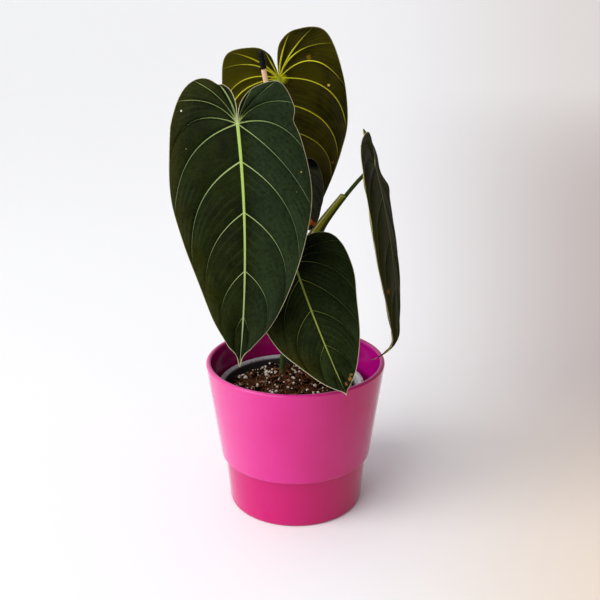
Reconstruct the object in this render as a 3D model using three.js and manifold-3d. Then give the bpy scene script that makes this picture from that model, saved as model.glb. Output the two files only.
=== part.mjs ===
// Potted black gold philodendron: a pink glazed cover pot, a nursery pot inside it filled with a coarse
// potting mix, one climbing stem with five hanging heart-shaped leaves, and a thin wooden stake with a cap.
// Units are millimetres, +Z is up and the origin is the centre of the cover pot's foot.
import * as THREE from "three";
import { mergeVertices } from "three/addons/utils/BufferGeometryUtils.js";
import Module from "manifold-3d";

const wasm = await Module();
wasm.setup();

// Driving dimensions: general
const seatGap = 0.3;

// Driving dimensions: cover pot
const potHeight = 123;
const potRimRadius = 72.5;
const potWall = 4.4;
const potFloor = 5;
const potStepHeight = 42;
const potStepRadius = 61.8;
const potBandTopRadius = 58.4;
const potFootRadius = 55.3;
const potInnerFootRadius = 50.6;
const potSegments = 64;

// Driving dimensions: nursery pot
const nurseryX = -3.5;
const nurseryRimRadius = 60;
const nurseryRimHeight = 102.4;
const nurseryFootRadius = 42;
const nurseryWall = 1.2;
const nurseryLip = 3.4;
const nurseryLipDepth = 5;
const nurserySegments = 48;
const drainCount = 5;
const drainRadius = 4.5;
const drainCircle = 28;

// Driving dimensions: potting mix
const mixTop = 97;
const mixSwell = 1.6;
const mixEdgeDrop = 2.2;
const chunkCount = 34;
const chunkMin = 1.6;
const chunkMax = 4.2;
const holeDepth = 26;

// Driving dimensions: stem
const stemRadius = 2.7;
const stemTopRadius = 2.2;
const stemNodeSwell = 0.7;
const stemNodeShare = 0.02;
const stemNodes = [0.45, 0.66, 0.84, 0.97];
const stemPath = [
  [-11.9, 27.5, 74],
  [-10.6, 26.8, 112],
  [-6, 27, 146],
  [2, 26, 180],
  [10, 23, 205],
  [14.5, 21.3, 216],
];

// Driving dimensions: stake
const stakeRadius = 1.95;
const stakeSpigotRadius = 1.3;
const stakeCapRadius = 2.4;
const stakeCapGroove = 0.3;
const stakeCapLength = 14;
const stakeCapRibs = 5;
const stakeCapTop = 3;
const stakePoint = 7;
const stakeBottom = [25, 12.2, 76];
const stakeTop = [-26.1, 20, 363.6];

// Driving dimensions: leaves
const bladeThickness = 0.8;
const midribDepth = 1.1;
const midribPower = 0.7;
const quiltHeight = 0.8;
const veinBend = 0.3;
const veinBendStart = 3;
const fanShare = 0.26;
const rootPower = 1.7;
const dentStart = 12;
const cellsPerVein = 2;
const bladeRows = [0, 0.045, 0.16, 0.33, 0.52, 0.72, 0.88, 1];
const smallBladeRows = [0, 0.1, 0.35, 0.7, 1];
const petioleRadius = 1.9;
const petioleTopRadius = 1.45;
const petioleFlare = 0.8;
const petioleFlareShare = 0.09;
const petioleSides = 8;
const petioleSteps = 14;
const sheathEnd = 0.58;
const sheathWing = [6.3, 3.6];
const sheathFlare = 2.4;
const sheathFlareShare = 0.14;
const sheathHalfWidth = [3.1, 2.2];
const sheathWall = 0.9;
const sheathSteps = 24;

// Each leaf: junction is where the petiole meets the blade, faces is where its upper face looks, and left
// and right are the half outlines as that face is seen with the tip down, [across, along the midrib]. A dent
// is a shallow bump or hollow of one half, and hook is where the drip tip starts to curl and how far it goes.
const leaves = [
  {
    name: "front",
    junction: [-39.8, -45, 318.1],
    tip: [-39.4, -86, 152.2],
    faces: [-0.15, -1, 0.2],
    bow: 9,
    sway: 6.5,
    fold: [-6, -6],
    cup: -5,
    lobe: [-4, -5],
    wave: 1.6,
    waveCount: 3.5,
    halfWidth: 52,
    left: [[1.6, -15], [10, -27.5], [31.5, -34.2], [46, -20], [54.8, 18], [56, 50], [47.4, 80], [36, 109],
      [23.4, 136.5], [8.5, 157]],
    right: [[1.6, -15], [10, -26.5], [27, -30.5], [38, -15], [41.8, 5], [47, 46], [42, 81], [31.5, 115],
      [19.8, 141], [7, 158]],
    rows: bladeRows,
    petioleStart: 0.66,
    petioleBends: [[-2, 29, 250], [-35, -12, 311]],
  },
  {
    name: "back",
    junction: [-12.3, 35, 342],
    tip: [7, 80, 203],
    faces: [0.1, 1, 0.3],
    bow: 6,
    sway: 0,
    fold: [-4, -4],
    cup: -3,
    lobe: [6, 6],
    wave: 1.5,
    waveCount: 3,
    halfWidth: 51,
    left: [[0.8, -15], [5.6, -30.3], [18.8, -39.8], [40.9, -36.7], [49.9, -2], [49.6, 38], [41.6, 66],
      [30.5, 93], [16.2, 120], [4.5, 138]],
    right: [[1.6, -10.5], [4.9, -22.3], [15, -28.6], [36, -25.4], [44.2, -3], [47.5, 32], [42, 62], [31, 92],
      [17, 119], [5, 138]],
    rows: bladeRows,
    petioleStart: 0.84,
    petioleBends: [[15, 26, 290], [-12.5, 10, 333]],
  },
  {
    name: "side",
    junction: [61.3, 10, 278.4],
    tip: [78.9, -31.4, 133],
    faces: [0.976, -0.24, 0.105],
    bow: 5.8,
    sway: 0,
    fold: [-6.3, -2.1],
    cup: 0,
    lobe: [25, -6.9],
    wave: 0.64,
    waveCount: 3,
    halfWidth: 44,
    left: [[1.5, -10], [8, -20], [21.9, -24], [39, -14], [41.7, 10], [42.2, 46], [41.5, 76], [31.4, 103],
      [17.5, 126], [2.6, 143]],
    right: [[1.5, -10], [9, -24], [36, -34], [38, -24], [45.2, 4], [42.5, 42], [32, 70], [23.2, 97],
      [13.5, 121], [2.6, 140]],
    dents: [
      { side: 1, across: 40, along: 2, wide: 26, long: 13, rise: -3.3 },
      { side: 1, across: 44, along: 13, wide: 16, long: 8, rise: 2.8 },
      { side: 0, across: 40, along: -10, wide: 22, long: 18, rise: 2 },
    ],
    hook: [0.86, -19, -3],
    rows: bladeRows,
    petioleStart: 1,
    petioleBends: [[30, 18.5, 241], [48, 12, 268.5]],
    sheathed: true,
  },
  {
    name: "low",
    junction: [-0.8, -35, 215],
    tip: [37, -90, 132],
    faces: [0, -1, 0.6],
    bow: 8,
    sway: -2,
    fold: [-5, -5],
    cup: -3,
    lobe: [-3, -3],
    wave: 1.2,
    waveCount: 3,
    halfWidth: 41,
    left: [[1.5, -8], [8, -16], [22, -20], [35, -13], [40.2, 4], [37.8, 32], [32.5, 58], [23.4, 76],
      [13, 92.5], [4.2, 101.5]],
    right: [[1.5, -8], [8, -15.5], [22, -19.7], [34.6, -14.5], [40.2, 0], [40.8, 22], [34.6, 45], [26.6, 70],
      [15, 91], [5, 101.5]],
    rows: bladeRows,
    petioleStart: 0.45,
    petioleBends: [[-7, 8, 178], [-0.5, -14, 201]],
  },
  {
    name: "young",
    junction: [4.5, 2, 276],
    tip: [11.4, -4, 230.9],
    faces: [0.1, -1, 0.1],
    bow: 3,
    sway: 1,
    fold: [-8, -8],
    cup: -2,
    lobe: [-2, -2],
    wave: 0.4,
    waveCount: 2,
    halfWidth: 16,
    left: [[0.5, -3.8], [2.7, -7.2], [8.6, -8.8], [13.4, -5], [15, 3.2], [14.8, 13.5], [12.8, 22.5], [10, 31],
      [7.8, 37.5], [4.6, 42.5]],
    right: [[0.5, -3.7], [2.7, -7], [8.5, -8.6], [13.3, -4.8], [15.2, 3], [15, 13], [13.4, 22], [9.9, 31],
      [7.6, 37.6], [4.7, 42.5]],
    rows: smallBladeRows,
    petioleStart: 0.93,
    petioleBends: [[9, 13, 240], [3.6, 13, 275]],
  },
];

// Colours and finishes
const potPink = new THREE.MeshStandardMaterial({ color: 0xd8338f, roughness: 0.22, metalness: 0 });
const nurseryGrey = new THREE.MeshStandardMaterial({ color: 0xa8a29e, roughness: 0.4, metalness: 0 });
const mixBrown = new THREE.MeshStandardMaterial({ color: 0x3a2618, roughness: 0.95, metalness: 0 });
const stemGreen = new THREE.MeshStandardMaterial({ color: 0x2c3a1a, roughness: 0.6, metalness: 0 });
const petioleGreen = new THREE.MeshStandardMaterial({ color: 0x4f6024, roughness: 0.55, metalness: 0 });
const velvetGreen = new THREE.MeshStandardMaterial({ color: 0x1f2f1b, roughness: 0.7, metalness: 0 });
const stakeWood = new THREE.MeshStandardMaterial({ color: 0xd9b48c, roughness: 0.7, metalness: 0 });
const capBlack = new THREE.MeshStandardMaterial({ color: 0x0d0d0f, roughness: 0.45, metalness: 0 });

const plant = new THREE.Group();

function vector(point) {
  return new THREE.Vector3(point[0], point[1], point[2]);
}

function addPiece(name, geometry, material) {
  const mesh = new THREE.Mesh(geometry, material);
  mesh.name = name;
  plant.add(mesh);
  return mesh;
}

// A seeded draw between 0 and 1, the same on every run.
function seededDraw(seed) {
  let state = seed;
  return () => {
    state = (state * 1664525 + 1013904223) % 4294967296;
    return state / 4294967296;
  };
}

function geometryFrom(positions, triangles) {
  const geometry = new THREE.BufferGeometry();
  geometry.setAttribute("position", new THREE.Float32BufferAttribute(positions, 3));
  geometry.setIndex(triangles);
  return geometry;
}

// A profile of [radius, height] pairs, starting and ending on the axis, turned round +Z.
function turned(profile, segments) {
  const points = profile.map(([radius, height]) => new THREE.Vector2(radius, height));
  const geometry = new THREE.LatheGeometry(points, segments);
  geometry.rotateX(Math.PI / 2);
  return geometry;
}

function solidFrom(geometry) {
  const bare = geometry.clone();
  bare.deleteAttribute("normal");
  bare.deleteAttribute("uv");
  const merged = mergeVertices(bare, 1e-4);
  return new wasm.Manifold(new wasm.Mesh({
    numProp: 3,
    vertProperties: new Float32Array(merged.getAttribute("position").array),
    triVerts: new Uint32Array(merged.getIndex().array),
  }));
}

function geometryOf(solid) {
  const mesh = solid.getMesh();
  return geometryFrom(Array.from(mesh.vertProperties), Array.from(mesh.triVerts));
}

// Joins rings of equal, even length into one closed body. Each end is closed by a strip of triangles
// between the ring's first half and its second, so that a channel's end stays open.
function skinned(rings) {
  const sides = rings[0].length;
  const positions = rings.flat().flatMap((point) => point.toArray());
  const triangles = [];
  for (let ring = 0; ring < rings.length - 1; ring += 1) {
    for (let side = 0; side < sides; side += 1) {
      const next = (side + 1) % sides;
      const a = ring * sides + side;
      const b = ring * sides + next;
      triangles.push(a, b, b + sides, a, b + sides, a + sides);
    }
  }
  const last = (rings.length - 1) * sides;
  for (let a = 0; a < sides / 2 - 1; a += 1) {
    const [b, c, d] = [a + 1, sides - 2 - a, sides - 1 - a];
    triangles.push(a, c, b, a, d, c);
    triangles.push(last + a, last + b, last + c, last + a, last + c, last + d);
  }
  return geometryFrom(positions, triangles);
}

// Sweeps a section along a curve. section(share) gives the outline at that share of the length as
// [towards, aside] pairs, anticlockwise as seen looking back along the curve. The last ring is cut off
// square, or along the plane that faces endNormal.
function swept(curve, steps, towards, section, endNormal) {
  const rings = [];
  for (let step = 0; step <= steps; step += 1) {
    const share = step / steps;
    const centre = curve.getPointAt(share);
    const tangent = curve.getTangentAt(share);
    const aside = new THREE.Vector3().crossVectors(tangent, towards).normalize();
    const outward = new THREE.Vector3().crossVectors(aside, tangent);
    const cut = step === steps && endNormal ? endNormal : tangent;
    rings.push(section(share).map(([x, y]) => {
      const offset = outward.clone().multiplyScalar(x).addScaledVector(aside, y);
      return offset.addScaledVector(tangent, -offset.dot(cut) / tangent.dot(cut)).add(centre);
    }));
  }
  return skinned(rings);
}

function circleSection(radius, sides) {
  const points = [];
  for (let side = 0; side < sides; side += 1) {
    const angle = (side / sides) * Math.PI * 2;
    points.push([radius * Math.cos(angle), radius * Math.sin(angle)]);
  }
  return points;
}

// Cover pot: a cone over a narrower foot band, with a small overhanging step between them. The small
// offsets round its edges.
const coverPotProfile = [
  [0, 0],
  [potFootRadius - 2, 0],
  [potFootRadius - 0.5, 0.7],
  [potFootRadius + 0.1, 2.4],
  [potBandTopRadius, potStepHeight - 1.2],
  [potBandTopRadius + 0.4, potStepHeight - 0.4],
  [potStepRadius - 0.5, potStepHeight + 0.2],
  [potStepRadius + 0.1, potStepHeight + 1.4],
  [potRimRadius - 0.3, potHeight - 3],
  [potRimRadius, potHeight - 1.3],
  [potRimRadius - 1, potHeight - 0.2],
  [potRimRadius - potWall / 2, potHeight],
  [potRimRadius - potWall + 0.8, potHeight - 0.4],
  [potRimRadius - potWall, potHeight - 2],
  [potStepRadius - potWall + 0.6, potStepHeight + 5],
  [potBandTopRadius - potWall + 0.2, potStepHeight - 3],
  [potInnerFootRadius, potFloor + 4],
  [potInnerFootRadius - 4, potFloor],
  [0, potFloor],
];
addPiece("cover_pot", turned(coverPotProfile, potSegments), potPink);

// Nursery pot: a thin tapered pot with a turned-out lip and drain holes in its floor.
const nurseryBottom = potFloor + seatGap;
const nurseryProfile = [
  [0, nurseryBottom],
  [nurseryFootRadius, nurseryBottom],
  [nurseryRimRadius - nurseryLip, nurseryRimHeight - nurseryLipDepth],
  [nurseryRimRadius - 0.4, nurseryRimHeight - nurseryLipDepth],
  [nurseryRimRadius, nurseryRimHeight - 0.8],
  [nurseryRimRadius - 0.6, nurseryRimHeight],
  [nurseryRimRadius - nurseryLip + 0.4, nurseryRimHeight],
  [nurseryRimRadius - nurseryLip - nurseryWall, nurseryRimHeight - 2],
  [nurseryFootRadius - nurseryWall, nurseryBottom + nurseryWall],
  [0, nurseryBottom + nurseryWall],
];
let nurseryPot = solidFrom(turned(nurseryProfile, nurserySegments));
for (let drain = 0; drain < drainCount; drain += 1) {
  const angle = (drain / drainCount) * Math.PI * 2;
  const cutter = new THREE.CylinderGeometry(drainRadius, drainRadius, nurseryWall * 4, 12);
  cutter.rotateX(Math.PI / 2);
  cutter.translate(Math.cos(angle) * drainCircle, Math.sin(angle) * drainCircle, nurseryBottom);
  nurseryPot = nurseryPot.subtract(solidFrom(cutter));
}
addPiece("nursery_pot", geometryOf(nurseryPot), nurseryGrey).position.x = nurseryX;

// Stem: a smooth curve with a slight swelling at each node.
const stemCurve = new THREE.CatmullRomCurve3(stemPath.map(vector));

function stemRadiusAt(share) {
  const plain = THREE.MathUtils.lerp(stemRadius, stemTopRadius, share);
  const swell = stemNodes.reduce((sum, node) => sum + Math.exp(-(((share - node) / stemNodeShare) ** 2)), 0);
  return plain + stemNodeSwell * swell;
}

const stemSides = 10;
const stemSteps = 40;
const stemGeometry = swept(stemCurve, stemSteps, new THREE.Vector3(0, -1, 0), (share) =>
  circleSection(stemRadiusAt(share), stemSides));
addPiece("main_stem", stemGeometry, stemGreen);

// Stake: a straight round stick with a thinner spigot that the ribbed cap sits on.
const stakeLength = vector(stakeTop).distanceTo(vector(stakeBottom));
const stakeShoulder = stakeLength - stakeCapLength;
const stakeProfile = [
  [0, 0],
  [stakeRadius * 0.4, 0],
  [stakeRadius, stakePoint],
  [stakeRadius, stakeShoulder],
  [stakeSpigotRadius, stakeShoulder],
  [stakeSpigotRadius, stakeLength - stakeCapTop],
  [0, stakeLength - stakeCapTop],
];
const capProfile = [
  [0, stakeLength - stakeCapTop + seatGap],
  [stakeSpigotRadius + seatGap, stakeLength - stakeCapTop + seatGap],
  [stakeSpigotRadius + seatGap, stakeShoulder + seatGap],
];
for (let rib = 0; rib < stakeCapRibs; rib += 1) {
  const pitch = (stakeCapLength - stakeCapTop) / stakeCapRibs;
  const foot = stakeShoulder + seatGap + rib * pitch;
  capProfile.push([stakeCapRadius, foot]);
  capProfile.push([stakeCapRadius, foot + pitch * 0.6]);
  capProfile.push([stakeCapRadius - stakeCapGroove, foot + pitch * 0.8]);
}
capProfile.push([stakeCapRadius, stakeLength - 2.4]);
capProfile.push([stakeCapRadius - 0.5, stakeLength - 0.5]);
capProfile.push([stakeCapRadius - 1.3, stakeLength]);
capProfile.push([0, stakeLength]);

const stake = addPiece("stake", turned(stakeProfile, 12), stakeWood);
const stakeCap = addPiece("stake_cap", turned(capProfile, 12), capBlack);
const stakeDirection = vector(stakeTop).sub(vector(stakeBottom)).normalize();
for (const piece of [stake, stakeCap]) {
  piece.position.copy(vector(stakeBottom));
  piece.quaternion.setFromUnitVectors(new THREE.Vector3(0, 0, 1), stakeDirection);
}

// Potting mix: a tapered plug with an uneven top, coarse chunks sunk into it, and plain holes for the
// stem and the stake.
const mixBottom = nurseryBottom + nurseryWall + seatGap;
const mixFootRadius = nurseryFootRadius - nurseryWall - 2 * seatGap;
const nurserySpread = nurseryRimRadius - nurseryLip - nurseryFootRadius;
const nurserySlope = nurserySpread / (nurseryRimHeight - nurseryLipDepth);
const mixTopRadius = mixFootRadius + (mixTop - mixBottom) * nurserySlope - 0.6;

function mixHeight(x, y) {
  const ripple = Math.sin(x * 0.19 + 1.1) * Math.cos(y * 0.23 - 0.4) + 0.5 * Math.sin(x * 0.41 - y * 0.37);
  return mixTop + mixSwell * ripple;
}

const mixSides = 36;
const mixRings = 7;
const mixRingPoints = [];
for (let ring = 0; ring <= mixRings + 1; ring += 1) {
  const points = [];
  for (let side = 0; side < mixSides; side += 1) {
    const angle = (side / mixSides) * Math.PI * 2;
    const radius = ring === 0 ? mixFootRadius : mixTopRadius * (1 - (ring - 1) / (mixRings + 0.5));
    const x = radius * Math.cos(angle);
    const y = radius * Math.sin(angle);
    const height = ring === 0 ? mixBottom : mixHeight(x, y) - (ring === 1 ? mixEdgeDrop : 0);
    points.push(new THREE.Vector3(x, y, height));
  }
  mixRingPoints.push(points);
}
let pottingMix = solidFrom(skinned(mixRingPoints));
const draw = seededDraw(7);
for (let chunk = 0; chunk < chunkCount; chunk += 1) {
  const size = chunkMin + (chunkMax - chunkMin) * draw() ** 2;
  const angle = draw() * Math.PI * 2;
  const reach = Math.sqrt(draw()) * (mixTopRadius - size * 1.4 - 1);
  const x = reach * Math.cos(angle);
  const y = reach * Math.sin(angle);
  const shape = new THREE.IcosahedronGeometry(size, 0);
  shape.scale(1, 0.6 + 0.4 * draw(), 0.45 + 0.3 * draw());
  shape.rotateX(draw() * 0.8);
  shape.rotateZ(draw() * Math.PI * 2);
  shape.translate(x, y, mixHeight(x, y) + size * 0.12);
  pottingMix = pottingMix.add(solidFrom(shape));
}

const stemHoleRadius = stemRadius + stemNodeSwell + seatGap;
const stemHole = new THREE.CylinderGeometry(stemHoleRadius, stemHoleRadius, holeDepth * 2, 14);
stemHole.rotateX(Math.PI / 2);
const stemRise = vector(stemPath[1]).sub(vector(stemPath[0])).normalize();
stemHole.applyQuaternion(new THREE.Quaternion().setFromUnitVectors(new THREE.Vector3(0, 0, 1), stemRise));
const stemFoot = vector(stemPath[0]).addScaledVector(stemRise, holeDepth - seatGap);
stemHole.translate(stemFoot.x - nurseryX, stemFoot.y, stemFoot.z);
const stakeHoleRadius = stakeRadius + seatGap + 0.05;
const stakeHole = new THREE.CylinderGeometry(stakeHoleRadius, stakeHoleRadius, holeDepth * 2, 14);
stakeHole.rotateX(Math.PI / 2);
stakeHole.applyQuaternion(new THREE.Quaternion().setFromUnitVectors(new THREE.Vector3(0, 0, 1), stakeDirection));
const stakeFoot = vector(stakeBottom).addScaledVector(stakeDirection, holeDepth - seatGap);
stakeHole.translate(stakeFoot.x - nurseryX, stakeFoot.y, stakeFoot.z);
pottingMix = pottingMix.subtract(solidFrom(stemHole)).subtract(solidFrom(stakeHole));
const [mixBody] = pottingMix.decompose().sort((a, b) => b.volume() - a.volume());
addPiece("potting_mix", geometryOf(mixBody), mixBrown).position.x = nurseryX;

// The leaf's own frame: along runs down the midrib, up out of the upper face, and across to its right.
function leafFrame(leaf) {
  const junction = vector(leaf.junction);
  const along = vector(leaf.tip).sub(junction);
  const length = along.length();
  along.normalize();
  const up = vector(leaf.faces);
  up.addScaledVector(along, -up.dot(along)).normalize();
  const across = new THREE.Vector3().crossVectors(up, along);
  return { junction, along, up, across, length };
}

// A point of the blade's middle surface, from its place across and along the leaf.
function bladePoint(leaf, frame, across, along, lift) {
  const share = along / frame.length;
  const side = across < 0 ? 0 : 1;
  const fold = THREE.MathUtils.degToRad(leaf.fold[side]);
  const arch = 4 * share * (1 - share);
  const reach = Math.abs(across) / leaf.halfWidth;
  let rise = leaf.bow * arch + Math.abs(across) * Math.sin(fold) + leaf.cup * reach ** 2 + lift;
  let run = along;
  if (along < 0) {
    rise += leaf.lobe[side] * (along / leaf.halfWidth) ** 2;
  }
  for (const dent of leaf.dents ?? []) {
    const near = ((Math.abs(across) - dent.across) / dent.wide) ** 2 + ((along - dent.along) / dent.long) ** 2;
    const offMidrib = Math.min(Math.abs(across) / dentStart, 1);
    rise += dent.side === side ? dent.rise * offMidrib * Math.exp(-near) : 0;
  }
  if (leaf.hook && share > leaf.hook[0]) {
    const curl = ((share - leaf.hook[0]) / (1 - leaf.hook[0])) ** 2;
    rise += leaf.hook[1] * curl;
    run += leaf.hook[2] * curl;
  }
  return frame.junction.clone()
    .addScaledVector(frame.along, run)
    .addScaledVector(frame.across, across * Math.cos(fold) + leaf.sway * Math.max(arch, 0))
    .addScaledVector(frame.up, rise);
}

// Blade: each half is a grid whose lines follow the veins, from the junction or the midrib out to the
// margin. Vein lines are valleys, and the lines between them ridges.
function bladeGeometry(leaf) {
  const frame = leafFrame(leaf);
  const lines = (leaf.left.length + 1) * cellsPerVein;
  const outlines = [leaf.left, leaf.right].map((half, side) => {
    const sign = side === 0 ? -1 : 1;
    const marks = [[0, 0], ...half, [0, frame.length]].map(([x, y]) => new THREE.Vector2(x * sign, y));
    return new THREE.SplineCurve(marks).getPoints(lines);
  });
  const fanStart = fanShare * frame.length;
  const roots = outlines[0].map((edge, line) => {
    const reach = (edge.y + outlines[1][line].y) / 2;
    return frame.length * Math.max(0, (reach - fanStart) / (frame.length - fanStart)) ** rootPower;
  });
  const points = [frame.junction.clone()];
  const ribShares = [0];
  const faces = [];
  const rim = [[], []];
  const midrib = [];
  for (const side of [0, 1]) {
    const sign = side === 0 ? -1 : 1;
    const grid = [];
    for (let line = 0; line <= lines; line += 1) {
      const edge = outlines[side][line];
      const rootAlong = roots[line];
      const chord = new THREE.Vector2(edge.x, edge.y - rootAlong);
      const bend = veinBend * sign * Math.min(line / cellsPerVein / veinBendStart, 1) ** 2;
      const bendX = chord.x / 2 + bend * chord.y;
      const bendY = rootAlong + chord.y / 2 - bend * chord.x;
      const quilt = -Math.cos((line / cellsPerVein) * Math.PI * 2);
      const column = [];
      for (const row of leaf.rows) {
        if (line === 0) {
          column.push(0);
        } else if (row === 0 && rootAlong === 0) {
          column.push(0);
        } else if (row === 0 && side === 1) {
          column.push(midrib[line]);
        } else if (row > 0 && line === lines) {
          column.push(column[0]);
        } else {
          const x = 2 * row * (1 - row) * bendX + row * row * edge.x;
          const y = (1 - row) ** 2 * rootAlong + 2 * row * (1 - row) * bendY + row * row * edge.y;
          const ripple = Math.sin((line / lines) * leaf.waveCount * Math.PI * 2);
          const lift = leaf.wave * ripple * row ** 3 + quiltHeight * quilt * 4 * row * (1 - row);
          column.push(points.length);
          points.push(bladePoint(leaf, frame, x, y, lift));
          ribShares.push(row === 0 ? y / frame.length : 1);
        }
      }
      if (side === 0) {
        midrib.push(column[0]);
      }
      rim[side].push(column[column.length - 1]);
      grid.push(column);
    }
    for (let line = 0; line < lines; line += 1) {
      for (let row = 0; row < leaf.rows.length - 1; row += 1) {
        const a = grid[line][row];
        const b = grid[line][row + 1];
        const c = grid[line + 1][row + 1];
        const d = grid[line + 1][row];
        const cell = sign > 0 ? [[a, c, b], [a, d, c]] : [[a, b, c], [a, c, d]];
        faces.push(...cell.filter(([p, q, r]) => p !== q && q !== r && r !== p));
      }
    }
  }
  return thickened(points, faces, rim, ribShares);
}

// Gives the middle surface its thickness: an upper skin, a lower skin that is deeper along the midrib,
// and a narrow wall round the margin.
function thickened(points, faces, rim, ribShares) {
  const middle = geometryFrom(points.flatMap((point) => point.toArray()), faces.flat());
  middle.computeVertexNormals();
  const normals = middle.getAttribute("normal");
  const count = points.length;
  const upper = [];
  const lower = [];
  points.forEach((point, index) => {
    const normal = new THREE.Vector3().fromBufferAttribute(normals, index);
    const rib = midribDepth * (1 - ribShares[index]) ** midribPower;
    upper.push(...point.clone().addScaledVector(normal, bladeThickness / 2).toArray());
    lower.push(...point.clone().addScaledVector(normal, -bladeThickness / 2 - rib).toArray());
  });
  const triangles = [];
  for (const [p, q, r] of faces) {
    triangles.push(p, q, r);
    triangles.push(p + count, r + count, q + count);
  }
  const loop = [...rim[1], ...rim[0].slice(1, -1).reverse()];
  for (let step = 0; step < loop.length; step += 1) {
    const from = loop[step];
    const to = loop[(step + 1) % loop.length];
    triangles.push(from, to + count, from + count, from, to, to + count);
  }
  return geometryFrom([...upper, ...lower], triangles);
}

// Petiole: a tapered stalk from beside the stem, or from its top end, to the blade's underside.
function petioleCurve(leaf) {
  const frame = leafFrame(leaf);
  const [bendA, bendB] = leaf.petioleBends.map(vector);
  const centre = stemCurve.getPointAt(leaf.petioleStart);
  const tangent = stemCurve.getTangentAt(leaf.petioleStart);
  const under = bladeThickness / 2 + midribDepth + seatGap;
  const end = frame.junction.clone().addScaledVector(frame.up, -under);
  const leave = bendA.clone().sub(centre);
  let clearance = seatGap;
  if (leaf.petioleStart < 1) {
    leave.addScaledVector(tangent, -leave.dot(tangent));
    clearance += stemRadiusAt(leaf.petioleStart) + petioleRadius + petioleFlare;
  } else {
    clearance += sheathWall;
  }
  const start = centre.clone().addScaledVector(leave.normalize(), clearance);
  return new THREE.CubicBezierCurve3(start, bendA, bendB, end);
}

function petioleSection(share) {
  const radius = THREE.MathUtils.lerp(petioleRadius, petioleTopRadius, share);
  return circleSection(radius + petioleFlare * Math.exp(-((share / petioleFlareShare) ** 2)), petioleSides);
}

// The sheathed petiole's section: a channel whose two wings shrink towards the sheath's squared end,
// then a plain round stalk. The outer half and the inner half have the same number of points.
function sheathSection(share) {
  const points = [];
  const winged = share < sheathEnd ? 1 : 0;
  const fade = Math.min(share / sheathEnd, 1);
  const wing = winged * THREE.MathUtils.lerp(sheathWing[0], sheathWing[1], fade);
  const flare = winged * sheathFlare * Math.exp(-((share / sheathFlareShare) ** 2));
  const round = THREE.MathUtils.lerp(petioleRadius, petioleTopRadius, share) + flare;
  const halfWidth = winged ? THREE.MathUtils.lerp(sheathHalfWidth[0], sheathHalfWidth[1], fade) : round;
  const wall = winged ? sheathWall : 0.1;
  const inner = winged ? sheathWall - round : round;
  for (let step = 0; step <= 6; step += 1) {
    const angle = Math.PI * (0.5 + step / 6);
    const rise = wing * Math.sin(angle) ** 4;
    points.push([rise + round * Math.cos(angle), halfWidth * Math.sin(angle)]);
  }
  for (let step = 6; step >= 0; step -= 1) {
    const angle = Math.PI * (0.5 + step / 6);
    const rise = wing * Math.sin(angle) ** 4;
    points.push([rise - inner * Math.cos(angle), (halfWidth - wall) * Math.sin(angle)]);
  }
  return points;
}

const petioleFront = new THREE.Vector3(0.3, -1, 0.1).normalize();
const sheathFront = new THREE.Vector3(-0.7, -0.2, 0.7).normalize();
for (const leaf of leaves) {
  const curve = petioleCurve(leaf);
  const bladeUp = leafFrame(leaf).up;
  const petiole = leaf.sheathed
    ? swept(curve, sheathSteps, sheathFront, sheathSection, bladeUp)
    : swept(curve, petioleSteps, petioleFront, petioleSection, bladeUp);
  addPiece(`petiole_${leaf.name}`, petiole, petioleGreen);
  addPiece(`blade_${leaf.name}`, bladeGeometry(leaf), velvetGreen);
}

export default plant;
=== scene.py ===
import math

import bmesh
import bpy
import numpy as np
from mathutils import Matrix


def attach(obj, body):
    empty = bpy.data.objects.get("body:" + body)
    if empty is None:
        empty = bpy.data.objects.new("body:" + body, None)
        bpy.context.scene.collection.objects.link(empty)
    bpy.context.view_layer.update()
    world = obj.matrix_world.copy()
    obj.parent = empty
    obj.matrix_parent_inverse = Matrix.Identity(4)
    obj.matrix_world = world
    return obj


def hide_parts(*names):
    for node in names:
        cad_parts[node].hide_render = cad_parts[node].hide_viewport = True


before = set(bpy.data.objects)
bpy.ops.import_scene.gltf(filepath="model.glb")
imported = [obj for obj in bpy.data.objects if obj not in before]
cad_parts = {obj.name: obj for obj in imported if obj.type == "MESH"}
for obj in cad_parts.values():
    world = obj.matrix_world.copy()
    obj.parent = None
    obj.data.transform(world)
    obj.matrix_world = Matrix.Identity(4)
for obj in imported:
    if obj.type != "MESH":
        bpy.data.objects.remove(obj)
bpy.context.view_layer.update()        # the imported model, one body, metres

mm = 0.001


# Painting: colours are written as on a screen, 0 to 255, and are laid over each other in a material's nodes

def asColour(value):
    if isinstance(value, bpy.types.NodeSocket):
        return value
    shares = [part / 255 for part in value]
    linear = [share / 12.92 if share <= 0.04045 else ((share + 0.055) / 1.055) ** 2.4 for share in shares]
    return (*linear, 1.0)


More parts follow.
